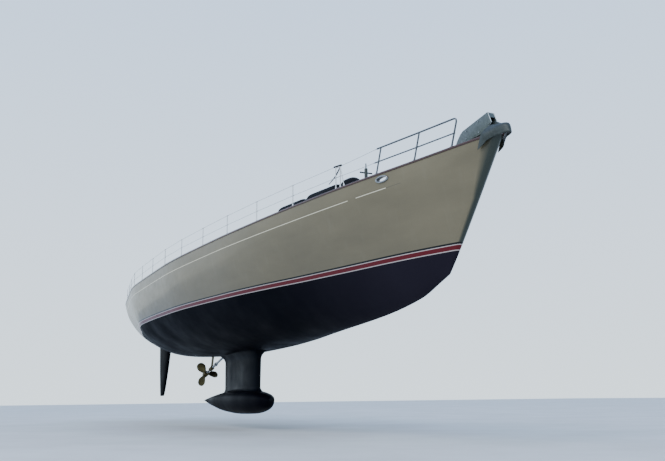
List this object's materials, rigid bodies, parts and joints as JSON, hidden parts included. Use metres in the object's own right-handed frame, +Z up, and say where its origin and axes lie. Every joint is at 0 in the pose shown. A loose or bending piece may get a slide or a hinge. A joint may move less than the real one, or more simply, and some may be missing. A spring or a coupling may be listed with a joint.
{
  "type": "sailing yacht",
  "caption": "Large cruising sloop with its mast out: canoe hull, bulb keel, spade rudder, low deckhouse, open cockpit with twin wheels, rails and a bow anchor.",
  "frame": {"origin": "amidships on the centre plane, at the height of the load waterline, in which the boat floats", "axes": "+X to the bow, +Y to port, +Z up"},
  "size_m": [33.595, 6.9624, 6.4064],
  "materials": {
    "topside_paint": "glossy metallic grey-beige",
    "antifouling": "matt navy bottom paint",
    "teak": "bare planks with dark seams",
    "varnish": "glossy red-brown varnish",
    "white_paint": "glossy",
    "steel": "polished stainless",
    "bronze": "dull bronze",
    "grey_metal": "satin green-grey",
    "black_cover": "black knitted covers over rubber",
    "tinted_glass": "dark tint"
  },
  "bodies": {
    "root": {"hull_bow": "topside_paint", "hull_saloon": "topside_paint", "hull_cockpit": "topside_paint", "hull_stern": "topside_paint", "keel_fin": "antifouling", "keel_bulb": "antifouling", "shaft_bracket": "bronze", "deck": "teak", "chainplate_port": "steel", "chainplate_starboard": "steel", "mooring_bitt_port": "grey_metal", "mooring_bitt_starboard": "grey_metal", "bulwark": "topside_paint", "cap_rail": "varnish", "deckhouse": "white_paint", "side_glass_port": "tinted_glass", "side_glass_starboard": "tinted_glass", "cockpit_coaming": "white_paint", "settee_port": "teak", "settee_starboard": "teak", "cockpit_table": "teak", "pedestal_port": "white_paint", "pedestal_starboard": "white_paint", "mast_collar": "steel", "windlass_base": "steel", "lifelines_port_fore": "steel", "lifelines_port_middle": "steel", "lifelines_port_aft": "steel", "lifelines_starboard_fore": "steel", "lifelines_starboard_middle": "steel", "lifelines_starboard_aft": "steel", "pulpit_port": "steel", "pulpit_starboard": "steel", "pushpit": "steel", "anchor_arm": "grey_metal", "anchor": "grey_metal", "bow_roller": "grey_metal", "fender_round": "black_cover", "fender_long": "black_cover", "fender_short": "black_cover"},
    "rudder": {"rudder_blade": "antifouling", "rudder_stock": "steel"},
    "screw": {"propeller": "bronze", "propeller_shaft": "steel"},
    "port_wheel": {"wheel_port": "steel"},
    "starboard_wheel": {"wheel_starboard": "steel"},
    "forepeak_lid": {"forepeak_hatch": "white_paint"},
    "sail_locker_lid": {"sail_locker_hatch": "white_paint"},
    "lazarette_lid": {"lazarette_hatch": "white_paint"},
    "roof_lid": {"roof_hatch": "white_paint"},
    "slide": {"companionway_slide": "white_paint"},
    "door": {"companionway_door": "varnish"},
    "windlass": {"windlass_drum": "steel"},
    "primary_port": {"primary_winch_port": "steel"},
    "primary_starboard": {"primary_winch_starboard": "steel"},
    "secondary_port": {"secondary_winch_port": "steel"},
    "secondary_starboard": {"secondary_winch_starboard": "steel"}
  },
  "joints": [
    {"name": "steer", "type": "hinge", "parent": "root", "child": "rudder", "pos_m": [-12.8, 0, -0.4], "axis": [0, 0, 1], "range_deg": [-35, 35]},
    {"name": "turn_port_wheel", "type": "hinge", "parent": "root", "child": "port_wheel", "pos_m": [-10.1, 0.96, 1.8], "axis": [1, 0, 0], "range_deg": [-421, 421]},
    {"name": "turn_starboard_wheel", "type": "hinge", "parent": "root", "child": "starboard_wheel", "pos_m": [-10.1, -0.96, 1.8], "axis": [1, 0, 0], "range_deg": [-421, 421]},
    {"name": "spin_screw", "type": "hinge", "parent": "root", "child": "screw", "pos_m": [-5, 0, -1.9775], "axis": [0.9746, 0, 0.2241], "continuous": true},
    {"name": "open_forepeak", "type": "hinge", "parent": "root", "child": "forepeak_lid", "pos_m": [11.9, 0, 1.85235], "axis": [0, 1, 0], "range_deg": [0, 80]},
    {"name": "open_sail_locker", "type": "hinge", "parent": "root", "child": "sail_locker_lid", "pos_m": [8.9, 0, 1.77695], "axis": [0, 1, 0], "range_deg": [0, 80]},
    {"name": "open_lazarette", "type": "hinge", "parent": "root", "child": "lazarette_lid", "pos_m": [-13.05, 0, 1.5663], "axis": [0, 1, 0], "range_deg": [0, 80]},
    {"name": "open_roof_hatch", "type": "hinge", "parent": "root", "child": "roof_lid", "pos_m": [-1.25, 0, 2.6053], "axis": [0, 1, 0], "range_deg": [0, 80]},
    {"name": "slide_hatch", "type": "slide", "parent": "root", "child": "slide", "axis": [1, 0, 0], "range_m": [0, 0.85]},
    {"name": "open_door", "type": "hinge", "parent": "root", "child": "door", "pos_m": [-5.016, 0.374, 2], "axis": [0, 0, -1], "range_deg": [0, 110]},
    {"name": "spin_windlass", "type": "hinge", "parent": "root", "child": "windlass", "pos_m": [12.95, 0, 2], "axis": [0, 0, 1], "continuous": true},
    {"name": "spin_primary_port", "type": "hinge", "parent": "root", "child": "primary_port", "pos_m": [-9, 1.88129, 1.95], "axis": [0, 0, 1], "continuous": true},
    {"name": "spin_primary_starboard", "type": "hinge", "parent": "root", "child": "primary_starboard", "pos_m": [-9, -1.88129, 1.95], "axis": [0, 0, 1], "continuous": true},
    {"name": "spin_secondary_port", "type": "hinge", "parent": "root", "child": "secondary_port", "pos_m": [-6.2, 1.92, 1.95], "axis": [0, 0, 1], "continuous": true},
    {"name": "spin_secondary_starboard", "type": "hinge", "parent": "root", "child": "secondary_starboard", "pos_m": [-6.2, -1.92, 1.95], "axis": [0, 0, 1], "continuous": true}
  ],
  "couplings": [
    {"joint": "turn_port_wheel", "follows": "steer", "ratio": 12},
    {"joint": "turn_starboard_wheel", "follows": "steer", "ratio": 12}
  ]
}
